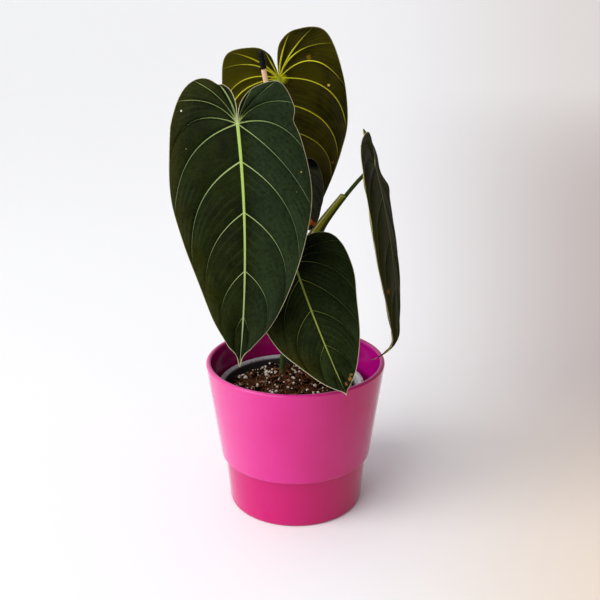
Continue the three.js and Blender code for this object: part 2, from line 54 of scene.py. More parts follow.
# The nodes of a material or of the world, with the tone that is painted on it so far
class Paint:
    def __init__(self, owner, tone, place="Object"):
        owner.use_nodes = True
        self.owner, self.tree, self.tone = owner, owner.node_tree, tone
        self.tree.nodes.clear()
        self.place = self.node("TexCoord", {}).outputs[place]

    def node(self, kind, inputs, **settings):
        node = self.tree.nodes.new("ShaderNode" + kind)
        for key, value in settings.items():
            setattr(node, key, value)
        for key, value in inputs.items():
            if isinstance(value, bpy.types.NodeSocket):
                self.tree.links.new(value, node.inputs[key])
            else:
                node.inputs[key].default_value = value
        return node

    def maths(self, operation, first, second):
        return self.node("Math", {0: first, 1: second}, operation=operation).outputs[0]

    def times(self, first, second):
        return self.maths("MULTIPLY", first, second)

    def remap(self, value, low, high, toLow=0.0, toHigh=1.0):
        inputs = {"Value": value, "From Min": low, "From Max": high, "To Min": toLow, "To Max": toHigh}
        return self.node("MapRange", inputs, interpolation_type="SMOOTHSTEP").outputs[0]

    def blend(self, share, first, second):
        inputs = {0: share, 6: asColour(first), 7: asColour(second)}
        return self.node("Mix", inputs, data_type="RGBA").outputs[2]

    def over(self, share, colour):
        self.tone = self.blend(share, self.tone, colour)

    def axis(self, index):
        return self.node("SeparateXYZ", {0: self.place}).outputs[index]

    def number(self, name):    # a number that each point of the mesh carries
        return self.node("Attribute", {}, attribute_name=name).outputs["Fac"]

    def noise(self, scale, detail=3.0, rough=0.5, twist=0.0, stretch=None):
        place = self.place
        if stretch:
            place = self.node("Mapping", {"Vector": place, "Scale": stretch}).outputs[0]
        inputs = {"Vector": place, "Scale": scale, "Detail": detail, "Roughness": rough, "Distortion": twist}
        return self.node("TexNoise", inputs).outputs[0]

    # The share of a soft round mark with an uneven edge. Its centre and radius are in millimetres
    def spot(self, centre, radius, soft=0.5):
        centre = [part * mm for part in centre]
        offset = self.node("VectorMath", {0: self.place, 1: centre}, operation="DISTANCE").outputs["Value"]
        uneven = min(radius, 2.5) * mm * 1.6
        offset = self.maths("ADD", offset, self.times(self.noise(700.0), uneven))
        offset = self.maths("SUBTRACT", offset, uneven / 2)
        return self.remap(offset, radius * mm, radius * mm * (1 - soft))

    # Lays a colour over the tone: none of it where the value is at low, and the most of it at high
    def fade(self, value, low, high, colour, most=1.0):
        self.over(self.remap(value, low, high, 0.0, most), colour)

    def marks(self, spots):
        for centre, radius, colour in spots:
            self.over(self.spot(centre, radius), colour)

    # Ends a material: a Principled shader with the tone, roughness and bump, and plain values for the rest
    def finish(self, roughness, height=None, depth=0.0003, strength=0.5, **sockets):
        inputs = {"Base Color": asColour(self.tone), "Roughness": roughness}
        inputs.update({key.replace("_", " "): value for key, value in sockets.items()})
        if height is not None:
            bump = self.node("Bump", {"Height": height, "Distance": depth, "Strength": strength})
            inputs["Normal"] = bump.outputs[0]
        shader = self.node("BsdfPrincipled", inputs)
        self.node("OutputMaterial", {"Surface": shader.outputs[0]})
        return self.owner


def newPaint(name, tone):
    return Paint(bpy.data.materials.new(name), tone)


# Camera, floor and light

view = {
    "place": (0.0037, -0.6771, 0.4058),
    "down": 18.97,        # degrees below level
    "lens": 54.0,         # mm on a 36 mm wide sensor
    "floorSize": 240.0,
    "keyPower": 5.0, "keyPlace": (-1.25, -0.55, 0.95), "keyAim": (0, 0, 0.15), "keySize": 0.8,
    "keyColour": (1.0, 0.985, 0.96),
    "sunPower": 1.7, "sunFrom": (-1.0, -0.85, 1.25),
    "sunSpread": 50,      # degrees
    "skyLight": 0.97, "roomLeft": (252, 253, 255), "roomRight": (142, 134, 140),
    "floor": (241, 242, 243), "floorGrain": (243, 244, 245),
    "shadeNear": (190, 179, 175), "shadeFar": (222, 216, 212), "shadeWarm": (234, 220, 204),
}


def addObject(name, data):
    made = bpy.data.objects.new(name, data)
    bpy.context.scene.collection.objects.link(made)
    return made


def makeCamera():
    camera = addObject("viewCamera", bpy.data.cameras.new("viewCamera"))
    camera.location = view["place"]
    camera.rotation_euler = (math.radians(90 - view["down"]), 0, 0)
    camera.data.lens = view["lens"]
    camera.data.sensor_width = 36
    camera.data.clip_end = 400
    bpy.context.scene.camera = camera


# Pale, with painted soft shade that spreads to the right behind the pot and is warm close to it
def floorMaterial():
    paint = newPaint("paleFloor", view["floor"])
    paint.over(paint.noise(3), view["floorGrain"])
    across, back = paint.axis(0), paint.axis(1)
    depth = paint.maths("MAXIMUM", paint.maths("ADD", back, 0.82), 0.65)
    shade = paint.blend(paint.remap(depth, 1.6, 4.5), view["shadeNear"], view["shadeFar"])
    shade = paint.blend(paint.remap(depth, 1.1, 0.66), shade, view["shadeWarm"])
    rightward = paint.remap(paint.maths("DIVIDE", across, depth), 0.02, 0.36)
    paint.over(paint.times(rightward, paint.remap(back, -1.4, -0.3)), shade)
    return paint.finish(0.75, Specular_IOR_Level=0.1)


def makeFloor():
    half = view["floorSize"] / 2
    sheet = bpy.data.meshes.new("floor")
    corners = [(-half, -half, 0), (half, -half, 0), (half, half, 0), (-half, half, 0)]
    sheet.from_pydata(corners, [], [(0, 1, 2, 3)])
    sheet.materials.append(floorMaterial())
    addObject("floor", sheet)


# A light that shines along the given way
def makeLight(name, kind, power, way, **settings):
    lamp = bpy.data.lights.new(name, kind)
    lamp.energy = power
    for key, value in settings.items():
        setattr(lamp, key, value)
    light = addObject(name, lamp)
    tilt, turn = math.atan2(math.hypot(way[0], way[1]), -way[2]), math.atan2(way[0], -way[1]) + math.pi
    light.rotation_euler = (tilt, 0, turn)
    return light


def makeLights():
    way = np.subtract(view["keyAim"], view["keyPlace"])
    key = makeLight("keyLight", "AREA", view["keyPower"], way, shape="SQUARE", size=view["keySize"],
                    color=view["keyColour"])
    key.location = view["keyPlace"]
    spread = math.radians(view["sunSpread"])
    makeLight("softSun", "SUN", view["sunPower"], np.negative(view["sunFrom"]), angle=spread)


def makeRoom():
    world = bpy.data.worlds.new("softRoom")
    bpy.context.scene.world = world    # brighter on the left
    paint = Paint(world, view["roomRight"], "Generated")
    paint.fade(paint.axis(0), 0.9, -0.7, view["roomLeft"])
    sky = paint.node("Background", {"Color": paint.tone, "Strength": view["skyLight"]})
    paint.node("OutputWorld", {"Surface": sky.outputs[0]})
    bpy.context.scene.view_settings.view_transform = "Standard"


makeCamera()
makeFloor()
makeLights()
makeRoom()
print("stage, camera and light made")


# Mesh helpers

def unit(vector):
    vector = np.asarray(vector, float)
    return vector / np.linalg.norm(vector)


def between(low, high, share):
    return low + (high - low) * share


# A smooth span from start to end, where leave and arrive are its slopes there
def smoothSpan(start, end, leave, arrive, share):
    rise = end - start
    bend = (3 * rise - 2 * leave - arrive) * share ** 2 + (leave + arrive - 2 * rise) * share ** 3
    return start + leave * share + bend


def withoutRepeats(corners):
    return [corner for spot, corner in enumerate(corners) if corner != corners[spot - 1]]


# Makes one piece of the plant from points in millimetres. Values are per-point numbers for its material
def makePiece(name, points, faces, materials, replaced=None, values=None, faceKinds=None, smooth=True):
    mesh = bpy.data.meshes.new(name)
    mesh.from_pydata((np.asarray(points) * mm).tolist(), [], [list(map(int, face)) for face in faces])
    for material in materials:
        mesh.materials.append(material)
    for key, numbers in (values or {}).items():
        layer = mesh.attributes.new(key, "FLOAT", "POINT")
        layer.data.foreach_set("value", np.asarray(numbers, np.float32))
    if faceKinds is not None:
        mesh.polygons.foreach_set("material_index", np.asarray(faceKinds, np.int32))
    mesh.polygons.foreach_set("use_smooth", [smooth] * len(mesh.polygons))
    mesh.validate()
    mesh.update()
    piece = addObject(name, mesh)
    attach(piece, "root")
    if replaced:
        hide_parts(replaced)


# Faces between neighbouring rows of point numbers, each row closed round
def bridged(rows):
    faces = []
    for lower, upper in zip(rows, rows[1:]):
        for side in range(len(lower)):
            after = (side + 1) % len(lower)
            face = withoutRepeats([lower[side], lower[after], upper[after], upper[side]])
            if len(face) > 2:
                faces.append(face)
    return faces


# Turns a profile of radius and height pairs round +Z, with a centre point where a radius is 0
def turned(profile, sides, wobble=lambda angle, height: 0):
    angles = np.arange(sides) / sides * 2 * math.pi
    points, rows = [], []
    for radius, height in profile:
        if radius == 0:
            rows.append([len(points)] * sides)
            points.append((0, 0, height))
            continue
        rows.append(list(range(len(points), len(points) + sides)))
        for angle in angles:
            grown = radius + wobble(angle, height)
            points.append((grown * math.cos(angle), grown * math.sin(angle), height))
    return np.array(points), bridged(rows)


# Rounds a profile's corners by cutting them again and again
def softened(profile, rounds, keep=0.2):
    points = np.array(profile, float)
    for _ in range(rounds):
        start, end = points[:-1], points[1:]
        cut = np.empty((2 * len(start), 2))
        cut[0::2] = start * (1 - keep) + end * keep
        cut[1::2] = start * keep + end * (1 - keep)
        points = np.vstack([points[:1], cut, points[-1:]])
    return points


# Joins rings of equal length into a tube with flat ends
def tubeFrom(rings):
    rings = np.asarray(rings)
    rows = np.arange(rings.shape[0] * rings.shape[1]).reshape(rings.shape[:2]).tolist()
    faces = bridged(rows) + [rows[0][::-1], rows[-1]]
    return rings.reshape(-1, 3), faces


# Points at equal steps along a finely sampled curve, with the direction of the curve at each
def evenly(curve, steps):
    run = np.concatenate([[0], np.cumsum(np.linalg.norm(np.diff(curve, axis=0), axis=1))])
    marks = np.linspace(0, run[-1], steps + 1)
    points = np.stack([np.interp(marks, run, curve[:, axis]) for axis in range(3)], axis=1)
    ahead = np.gradient(points, axis=0)
    return points, ahead / np.linalg.norm(ahead, axis=1)[:, None]


def sweep(curve, steps, towards, section):
    rings = []
    for index, (centre, ahead) in enumerate(zip(*evenly(curve, steps))):
        aside = unit(np.cross(ahead, towards))
        outward = np.cross(aside, ahead)
        ring = np.array(section(index / steps))
        rings.append(centre + ring[:, :1] * outward + ring[:, 1:] * aside)
    return np.array(rings)


def roundSection(radius, sides):
    angles = np.arange(sides) / sides * 2 * math.pi
    return radius * np.stack([np.cos(angles), np.sin(angles)], axis=1)


# Cover pot: a cone over a narrower foot band, glazed a bright pink

pot = {
    "height": 123, "rimRadius": 72.5, "wall": 4.4, "floor": 5, "stepHeight": 42, "stepRadius": 61.8,
    "bandTopRadius": 58.4, "footRadius": 55.3, "innerFootRadius": 50.6, "sides": 192,
    "pink": (213, 44, 139), "deepPink": (202, 28, 114), "litLeftPink": (214, 86, 152),
    "shadePink": (146, 12, 34), "bandReflectionPink": (191, 0, 101), "speck": (120, 10, 70),
    "insideShadeLeft": (146, 0, 86), "insideLitRight": (196, 8, 140), "roughness": 0.16,
}


def glazeMaterial():
    paint = newPaint("pinkGlaze", pot["pink"])
    across, height = paint.axis(0), paint.axis(2)
    step = pot["stepHeight"] * mm
    paint.fade(paint.noise(22, 4, 0.55), 0.35, 0.7, pot["deepPink"], 0.35)
    # painted light: paler pink towards the left side
    paint.fade(across, -0.01, -0.06, pot["litLeftPink"], 0.5)
    # painted reflection: the foot band below the step is a deeper pink, as if it reflected a dark surface
    # under the pot
    paint.fade(height, step + 0.001, step - 0.001, pot["bandReflectionPink"], 0.9)
    # painted shade: darker towards the right side
    paint.fade(across, -0.03, 0.07, pot["shadePink"], 0.5)
    # painted shade and light on the inside wall: dark on the shaded left, brighter pink where it is lit on
    # the right
    inner = paint.blend(paint.remap(across, -0.04, 0.065), pot["insideShadeLeft"], pot["insideLitRight"])
    paint.over(paint.number("inside"), inner)
    paint.fade(paint.noise(900, 2), 0.66, 0.74, pot["speck"], 0.10)
    waves = paint.noise(60)
    gloss = paint.remap(waves, 0.3, 0.7, pot["roughness"] - 0.03, pot["roughness"] + 0.05)
    return paint.finish(gloss, waves, 0.0004, 0.35, Coat_Weight=0.25, Coat_Roughness=0.08,
                        Specular_IOR_Level=0.2)


def makePot():
    step, rim, wall = pot["stepRadius"], pot["rimRadius"], pot["wall"]
    stepAt, top, band, foot = pot["stepHeight"], pot["height"], pot["bandTopRadius"], pot["footRadius"]
    inner, floor = pot["innerFootRadius"], pot["floor"]
    # outside, upwards from the middle of the foot
    profile = [(0, 0.4), (foot - 6, 0.4), (foot - 4, 0), (foot - 2, 0), (foot - 0.5, 0.7), (foot + 0.1, 2.4)]
    for share in (0.15, 0.5, 0.85):
        profile.append((between(foot, band, share), 2.4 + (stepAt - 3.6) * share))
    profile += [(band, stepAt - 1.2), (band + 0.35, stepAt - 0.5), (step - 0.9, stepAt + 0.1)]
    profile += [(step - 0.1, stepAt + 0.8), (step + 0.1, stepAt + 1.8)]
    for share in (0.1, 0.35, 0.65, 0.9):
        profile.append((between(step, rim - 0.3, share), between(stepAt + 1.8, top - 3, share)))
    # over the lip and down the inside
    profile += [(rim - 0.3, top - 3), (rim, top - 1.5), (rim - 0.7, top - 0.3), (rim - wall / 2, top)]
    profile += [(rim - wall + 0.7, top - 0.4), (rim - wall, top - 2), (rim - wall - 0.6, top - 6)]
    profile += [(step - wall + 0.6, stepAt + 5), (band - wall + 0.2, stepAt - 3)]
    profile += [(inner, floor + 4), (inner - 4, floor), (0, floor)]
    points, faces = turned(softened(profile, 2), pot["sides"])
    reach, height = np.hypot(points[:, 0], points[:, 1]), points[:, 2]
    upperWall = between(step, rim, (height - stepAt) / (top - stepAt))
    lowerWall = between(foot, band, height / stepAt)
    middle = np.where(height > stepAt + 1, upperWall, lowerWall) - wall / 2
    inside = np.clip((middle - reach) / 1.2 + 0.2, 0, 1) * (height > floor - 0.5)
    makePiece("glazed_pot", points, faces, [glazeMaterial()], "cover_pot", {"inside": inside})


makePot()
print("cover pot made")


# Nursery pot: thin greyish plastic with a turned-out lip, with painted shade inside below the rim

nursery = {
    "centreX": -3.5, "rimRadius": 60, "rimHeight": 102.4, "footRadius": 42, "bottom": 5.3,
    "wall": 1.2, "lip": 3.4, "lipDepth": 5, "sides": 120,
    "grey": (120, 120, 124), "pale": (190, 190, 192), "paleRight": (225, 225, 226),
    "shadeBrown": (26, 18, 13), "dirt": (46, 30, 20),
}


def plasticMaterial():
    paint = newPaint("milkyPlastic", nursery["grey"])
    across, height = paint.axis(0), paint.axis(2)
    cloud = paint.noise(40, 4, 0.6)
    paint.over(cloud, nursery["pale"])
    paint.fade(across, 0.01, 0.055, nursery["paleRight"], 0.7)
    # painted shade below the rim, in a soil brown, strongest on the left and faint on the right; the shaded
    # part is also rougher
    paintedShade = paint.times(paint.remap(height, 0.1015, 0.0995), paint.remap(across, 0, 0.045, 0.95, 0.1))
    paint.over(paintedShade, nursery["shadeBrown"])
    paint.fade(paint.noise(320, 3, 0.6), 0.60, 0.68, nursery["dirt"], 0.8)
    rough = paint.remap(paintedShade, 0, 0.9, 0.32, 0.95)
    return paint.finish(rough, cloud, 0.0003, 0.3, Transmission_Weight=0.15, Specular_IOR_Level=0.2)


def makeNursery():
    rim, high, lip, foot = nursery["rimRadius"], nursery["rimHeight"], nursery["lip"], nursery["footRadius"]
    low, wall = nursery["bottom"], nursery["wall"]
    under = high - nursery["lipDepth"]
    profile = [(0, low), (foot - 1, low), (foot, low + 1), (rim - lip - 0.3, under - 1), (rim - lip, under)]
    profile += [(rim - 0.9, under), (rim - 0.4, under + 0.4), (rim, high - 1), (rim - 0.6, high)]
    profile += [(rim - lip + 0.4, high), (rim - lip - wall + 0.3, high - 1), (rim - lip - wall, high - 2.4)]
    profile += [(foot - wall + 1.2, low + wall + 4), (foot - wall - 2, low + wall), (0, low + wall)]
    points, faces = turned(softened(profile, 1), nursery["sides"])
    points[:, 0] += nursery["centreX"]
    makePiece("nursery_shell", points, faces, [plasticMaterial()], "nursery_pot")


makeNursery()
print("nursery pot made")


# Stem: leans right as it climbs, brown at its base, swollen at the nodes

stem = {
    "path": [(-11.9, 27.5, 74), (-10.6, 26.8, 112), (-6, 27, 146),
             (2, 26, 180), (10, 23, 205), (14.5, 21.3, 216)],
    "radius": 2.7, "topRadius": 2.2, "nodes": [0.45, 0.66, 0.84, 0.97], "swell": 0.7,
    "sides": 28, "steps": 200,
    "green": (54, 80, 26), "dark": (26, 42, 12), "brown": (96, 78, 36), "ring": (118, 104, 62),
    "brownTop": 0.108, "brownFull": 0.102,    # metres up from the floor
}


# The same curve through points as the solids have, sampled finely
def curveThrough(path, perSpan=60):
    path = np.array(path, float)
    ends = np.vstack([2 * path[0] - path[1], path, 2 * path[-1] - path[-2]])
    samples = []
    for span in range(len(path) - 1):
        before, start, end, after = ends[span:span + 4]
        gaps = [np.linalg.norm(b - a) ** 0.5 for a, b in ((before, start), (start, end), (end, after))]
        leave = (start - before) / gaps[0] - (end - before) / (gaps[0] + gaps[1]) + (end - start) / gaps[1]
        arrive = (end - start) / gaps[1] - (after - start) / (gaps[1] + gaps[2]) + (after - end) / gaps[2]
        leave, arrive = leave * gaps[1], arrive * gaps[1]
        share = np.linspace(0, 1, perSpan, endpoint=False)[:, None]
        samples.append(smoothSpan(start, end, leave, arrive, share))
    return np.vstack(samples + [path[-1:]])


def stemRadiusAt(share):
    swell = sum(math.exp(-((share - node) / 0.02) ** 2) for node in stem["nodes"])
    return between(stem["radius"], stem["topRadius"], share) + stem["swell"] * swell


def stemMaterial():
    paint = newPaint("greenStem", stem["dark"])
    paint.over(paint.noise(160, 4, 0.6), stem["green"])
    ragged = paint.maths("ADD", paint.axis(2), paint.times(paint.noise(300), 0.008))
    paint.fade(ragged, stem["brownTop"], stem["brownFull"], stem["brown"])
    paint.over(paint.times(paint.number("ring"), 0.55), stem["ring"])
    return paint.finish(0.5, paint.noise(1, 3, 0.6, stretch=(900, 900, 60)))


stemCurve = curveThrough(stem["path"])


def makeStem():
    def section(share):
        wave = 1 + 0.03 * np.sin(np.arange(stem["sides"]) * 3.7 + share * 90)
        return roundSection(stemRadiusAt(share), stem["sides"]) * wave[:, None]

    points, faces = tubeFrom(sweep(stemCurve, stem["steps"], (0, -1, 0), section))
    shares = np.repeat(np.linspace(0, 1, stem["steps"] + 1), stem["sides"])
    ring = sum(np.exp(-((shares - node) / 0.007) ** 2) for node in stem["nodes"])
    makePiece("climbing_stem", points, faces, [stemMaterial()], "main_stem", {"ring": ring})


makeStem()
print("stem made")


# Stake and its black ribbed cap

stake = {
    "foot": (25, 12.2, 76), "top": (-26.1, 20, 363.6), "radius": 1.95, "capRadius": 2.4, "capLength": 14,
    "capTop": 3, "ribs": 5, "groove": 0.3, "pale": (232, 196, 160), "dark": (206, 162, 120),
    "black": (3, 3, 5), "blackGrain": (12, 12, 15),
}


def alongStake(points):
    foot = np.array(stake["foot"])
    ahead = unit(np.array(stake["top"]) - foot)
    aside = unit(np.cross(ahead, (0, 1, 0)))
    return foot + points[:, :1] * aside + points[:, 1:2] * np.cross(ahead, aside) + points[:, 2:] * ahead


def woodMaterial():
    paint = newPaint("paleStakeWood", stake["pale"])
    grain = paint.noise(1, 5, 0.6, 0.4, stretch=(700, 700, 40))
    paint.fade(grain, 0.35, 0.68, stake["dark"])
    return paint.finish(0.6, grain)


def capMaterial():
    paint = newPaint("blackCapPlastic", stake["black"])
    grain = paint.noise(700, 3, 0.6)
    paint.over(grain, stake["blackGrain"])
    return paint.finish(paint.remap(grain, 0.3, 0.7, 0.08, 0.3), grain, 0.0006, 1, Specular_IOR_Level=0.11)


def makeStake():
    length = math.dist(stake["foot"], stake["top"])
    shoulder, spigotTop = length - stake["capLength"], length - stake["capTop"]
    radius, cap = stake["radius"], stake["capRadius"]
    body = [(0, 0), (radius * 0.4, 0.4), (radius * 0.7, 4), (radius, 8)]
    body += [(radius, mark) for mark in np.linspace(20, shoulder - 0.6, 20)]
    body += [(radius - 0.2, shoulder), (radius - 0.7, shoulder), (radius - 0.7, spigotTop), (0, spigotTop)]
    points, faces = turned(body, 32, lambda angle, height: 0.05 * math.sin(angle * 3 + height * 0.09))
    makePiece("stake_stick", alongStake(points), faces, [woodMaterial()], "stake")

    shell = [(0, spigotTop + 0.3), (radius - 0.4, spigotTop), (radius - 0.4, shoulder + 0.3)]
    shell += [(cap - 0.25, shoulder + 0.3), (cap, shoulder + 0.6)]
    pitch = (stake["capLength"] - stake["capTop"]) / stake["ribs"]
    for rib in range(stake["ribs"]):
        low = shoulder + 0.6 + rib * pitch
        shell += [(cap, low + pitch * 0.5), (cap - 0.12, low + pitch * 0.62)]
        shell += [(cap - stake["groove"], low + pitch * 0.78), (cap - 0.12, low + pitch * 0.94)]
        shell += [(cap, low + pitch)]
    shell += [(cap - 0.1, length - 1.9), (cap - 0.6, length - 0.7), (cap - 1.4, length - 0.1), (0, length)]
    points, faces = turned(shell, 40)
    makePiece("ribbed_cap", alongStake(points), faces, [capMaterial()], "stake_cap")


makeStake()
print("stake made")


# Potting mix: an uneven dark bed with bark, coir, crumbs and white perlite on it

mix = {
    "top": 97, "swell": 1.6, "radius": 52.6, "footRadius": 40.2, "bottom": 6.8, "sides": 120, "rings": 34,
    "perlite": 390, "bark": 330, "crumbs": 1700, "fibres": 330,    # how many of each
    "stemFoot": (-7.4, 27.0), "keepOut": 4.0,
    "darkBrown": (7, 4, 3), "brown": (34, 19, 11), "rust": (90, 48, 26), "straw": (168, 112, 66),
    "white": (246, 242, 234), "cream": (178, 160, 138),
}


def mixHeight(x, y):
    ripple = np.sin(x * 0.19 + 1.1) * np.cos(y * 0.23 - 0.4) + 0.5 * np.sin(x * 0.41 - y * 0.37)
    return mix["top"] + mix["swell"] * ripple


def earthMaterial(name, low, high, scale, roughness=0.95):
    paint = newPaint(name, low)
    paint.fade(paint.noise(scale, 5, 0.65), 0.35, 0.68, high)
    return paint.finish(roughness, paint.noise(scale * 6, 4, 0.7), 0.0006, 0.8, Specular_IOR_Level=0.08)


# Makes one piece of the mix, whose points are measured from the nursery pot's middle
def makeEarth(name, points, faces, material, replaced=None, smooth=True):
    points[:, 0] += nursery["centreX"]
    makePiece(name, points, faces, [material], replaced, smooth=smooth)


# A bed of radial rings, closed underneath, with its own fine lumps
def makeBed():
    draw = np.random.default_rng(3)
    sides, rings = mix["sides"], mix["rings"]
    layers = [np.column_stack([roundSection(mix["footRadius"], sides), np.full(sides, mix["bottom"])])]
    for ring in range(rings):
        flat = roundSection(mix["radius"] * (1 - ring / (rings + 0.3)), sides)
        lumps = draw.normal(0, 0.55, sides) * (ring > 0)
        layers.append(np.column_stack([flat, mixHeight(*flat.T) - (2.2 if ring == 0 else 0.4) + lumps]))
    points, faces = tubeFrom(layers)
    bed = earthMaterial("peatBed", mix["darkBrown"], mix["brown"], 260.0)
    makeEarth("mix_bed", points, faces, bed, "potting_mix")


# An icosphere's points and faces as arrays
def blobShape(rounds):
    ball = bmesh.new()
    bmesh.ops.create_icosphere(ball, subdivisions=rounds, radius=1.0)
    points = np.array([vert.co[:] for vert in ball.verts])
    faces = np.array([[vert.index for vert in face.verts] for face in ball.faces])
    ball.free()
    return points, faces


def turnAbout(axis, angle):
    axis = unit(axis)
    cross = np.array([[0, -axis[2], axis[1]], [axis[2], 0, -axis[0]], [-axis[1], axis[0], 0]])
    return np.eye(3) + math.sin(angle) * cross + (1 - math.cos(angle)) * cross @ cross


# Scatters many small lumps over the bed as one piece. Sizes are in millimetres, and flat squashes a lump
def scatter(name, count, sizes, flat, lift, rough, rounds, seed, material):
    draw = np.random.default_rng(seed)
    base, baseFaces = blobShape(rounds)
    lumps, faces = [], []
    for _ in range(count):
        size = between(*sizes, draw.random() ** 1.8)
        reach = (mix["radius"] - size - 0.3) * math.sqrt(draw.random())
        angle = draw.random() * 2 * math.pi
        x, y = reach * math.cos(angle), reach * math.sin(angle)
        shape = base * (1 + draw.normal(0, rough, len(base)))[:, None]
        shape = shape * (1, 0.55 + 0.45 * draw.random(), between(*flat, draw.random()))
        spin = turnAbout((0, 0, 1), draw.random() * 6.28)
        spin = spin @ turnAbout(draw.normal(0, 1, 3) + (0, 0, 0.01), draw.random() * 0.9)
        if math.hypot(x - mix["stemFoot"][0], y - mix["stemFoot"][1]) < mix["keepOut"]:
            continue
        faces.append(baseFaces + len(base) * len(lumps))
        lumps.append(shape @ spin.T * size * 0.5 + np.array([x, y, mixHeight(x, y) + size * 0.5 * lift]))
    makeEarth(name, np.vstack(lumps), np.vstack(faces), material, smooth=False)


def makeFibres():
    draw = np.random.default_rng(11)
    share = np.linspace(-0.5, 0.5, 7)
    strands, faces = [], []
    for _ in range(mix["fibres"]):
        length = 4 + 13 * draw.random() ** 1.5
        reach = (mix["radius"] - length * 0.5 - 1) * math.sqrt(draw.random())
        angle, heading, bend = draw.random() * 6.28, draw.random() * 6.28, draw.normal(0, 0.08)
        heading = heading + bend * share * length
        x = reach * math.cos(angle) + np.cos(heading) * share * length
        y = reach * math.sin(angle) + np.sin(heading) * share * length
        arch = (0.6 + draw.random() * 1.4) * (1 - (2 * share) ** 2)
        z = mixHeight(x, y) + 0.5 + arch + draw.normal(0, 0.25, 7)
        section = roundSection(0.13 + 0.12 * draw.random(), 5)
        points, strandFaces = tubeFrom(sweep(np.stack([x, y, z], axis=1), 6, (0, 0.01, 1), lambda _: section))
        faces += [[corner + len(points) * len(strands) for corner in face] for face in strandFaces]
        strands.append(points)
    coir = earthMaterial("coirFibre", mix["rust"], mix["straw"], 500.0, 0.8)
    makeEarth("coir_fibres", np.vstack(strands), faces, coir)


def makeMix():
    makeBed()
    crumb = earthMaterial("peatCrumb", mix["darkBrown"], mix["brown"], 700.0)
    scatter("peat_crumbs", mix["crumbs"], (0.8, 2.2), (0.5, 0.9), 0.4, 0.16, 1, 21, crumb)
    bark = earthMaterial("barkChip", mix["brown"], mix["rust"], 420.0)
    scatter("bark_chips", mix["bark"], (2.2, 7.5), (0.22, 0.4), 0.5, 0.10, 1, 22, bark)
    perlite = earthMaterial("perlite", mix["cream"], mix["white"], 900.0, 0.9)
    scatter("perlite_grains", mix["perlite"], (1.0, 3.4), (0.6, 0.95), 0.75, 0.10, 2, 23, perlite)
    makeFibres()


makeMix()
print("potting mix made")


# Leaves: each half is a grid whose lines follow the veins from the junction or the midrib to the margin

leafMake = {
    "thickness": 0.56, "veinWidth": 0.38, "veinSink": 0.22, "veinRidge": 0.42, "ribRise": 0.12,
    "ribDepth": 0.95, "quilt": 1.1, "weld": 0.002, "lastMark": 11, "fineLines": [0.21, 0.4, 0.6, 0.79],
    "between": [0, 0.02, 0.045, 0.08, 0.13, 0.21, 0.3, 0.4, 0.5, 0.6, 0.7, 0.79, 0.87, 0.92, 0.955, 0.98],
    "rows": [0, 0.008, 0.018, 0.03, 0.045, 0.065, 0.09, 0.12, 0.155, 0.195, 0.24, 0.29, 0.34, 0.39, 0.44,
             0.49, 0.54, 0.59, 0.64, 0.69, 0.74, 0.79, 0.835, 0.875, 0.91, 0.94, 0.963, 0.98, 0.991, 1],
}


def splineThrough(points, marks):
    points = np.array(points, float)
    last = len(points) - 1
    base = np.clip(np.floor(marks).astype(int), 0, last - 1)
    share = (marks - base)[:, None]
    before, start = points[np.maximum(base - 1, 0)], points[base]
    end, after = points[base + 1], points[np.minimum(base + 2, last)]
    leave, arrive = (end - before) / 2, (after - start) / 2
    return smoothSpan(start, end, leave, arrive, share)


def leafFrame(leaf):
    junction = np.array(leaf["junction"], float)
    along = np.array(leaf["tip"], float) - junction
    length = float(np.linalg.norm(along))
    along /= length
    up = np.array(leaf["faces"], float)
    up = unit(up - up.dot(along) * along)
    return junction, along, up, np.cross(up, along), length


# Points of the blade's middle surface, from their places across and along the leaf
def bladePoints(leaf, across, along, lift, side):
    junction, ahead, up, aside, length = leafFrame(leaf)
    share, out = along / length, np.abs(across)
    fold = math.radians(leaf["fold"][side])
    arch = 4 * share * (1 - share)
    rise = leaf["bow"] * arch + out * math.sin(fold) + leaf["cup"] * (out / leaf["halfWidth"]) ** 2 + lift
    rise = rise + np.where(along < 0, leaf["lobe"][side] * (along / leaf["halfWidth"]) ** 2, 0)
    run = along.copy()
    if "hook" in leaf:
        start, curlRise, curlRun = leaf["hook"]
        curl = np.clip((share - start) / (1 - start), 0, None) ** 2
        rise, run = rise + curlRise * curl, run + curlRun * curl
    for dentSide, dentAcross, dentAlong, dentWide, dentLong, dentRise in leaf.get("dents", []):
        if dentSide == side:
            near = ((out - dentAcross) / dentWide) ** 2 + ((along - dentAlong) / dentLong) ** 2
            rise = rise + dentRise * np.minimum(out / 12, 1) * np.exp(-near)
    flat = across * math.cos(fold) + leaf["sway"] * np.maximum(arch, 0)
    return junction + run[..., None] * ahead + flat[..., None] * aside + rise[..., None] * up


def nearestOnLine(points, line):
    best = np.full(points.shape[:-1], 1e9)
    for start, end in zip(line[:-1], line[1:]):
        chord = end - start
        size = chord.dot(chord)
        if size == 0:
            continue
        share = np.clip(((points - start) @ chord) / size, 0, 1)
        best = np.minimum(best, np.linalg.norm(points - start - share[..., None] * chord, axis=-1))
    return best


# The grid's lines between each pair of the given ends, and the last end itself
def spreadBetween(ends):
    shares = np.array(leafMake["between"])
    return np.concatenate([between(low, high, shares) for low, high in zip(ends, ends[1:])] + [ends[-1:]])


# One half's margin. Its marks count the outline's points from the junction to the tip
def marginOf(leaf, side, marks, length):
    sign = (-1, 1)[side]
    outline = [(0, 0)] + [(x * sign, y) for x, y in leaf["margins"][side]] + [(0, length)]
    edge = splineThrough(outline, marks)
    edge[:, 0] *= 1 - leaf["drip"] * np.sin(np.clip(marks - 10, 0, 1) * math.pi)
    for notchSide, notchMark, notchDepth, notchWide in leaf.get("notches", []):
        if notchSide == side:
            pull = notchDepth * np.exp(-((marks - notchMark) / notchWide) ** 2)
            edge = edge - edge / np.linalg.norm(edge, axis=1).clip(1)[:, None] * pull[:, None]
    return edge


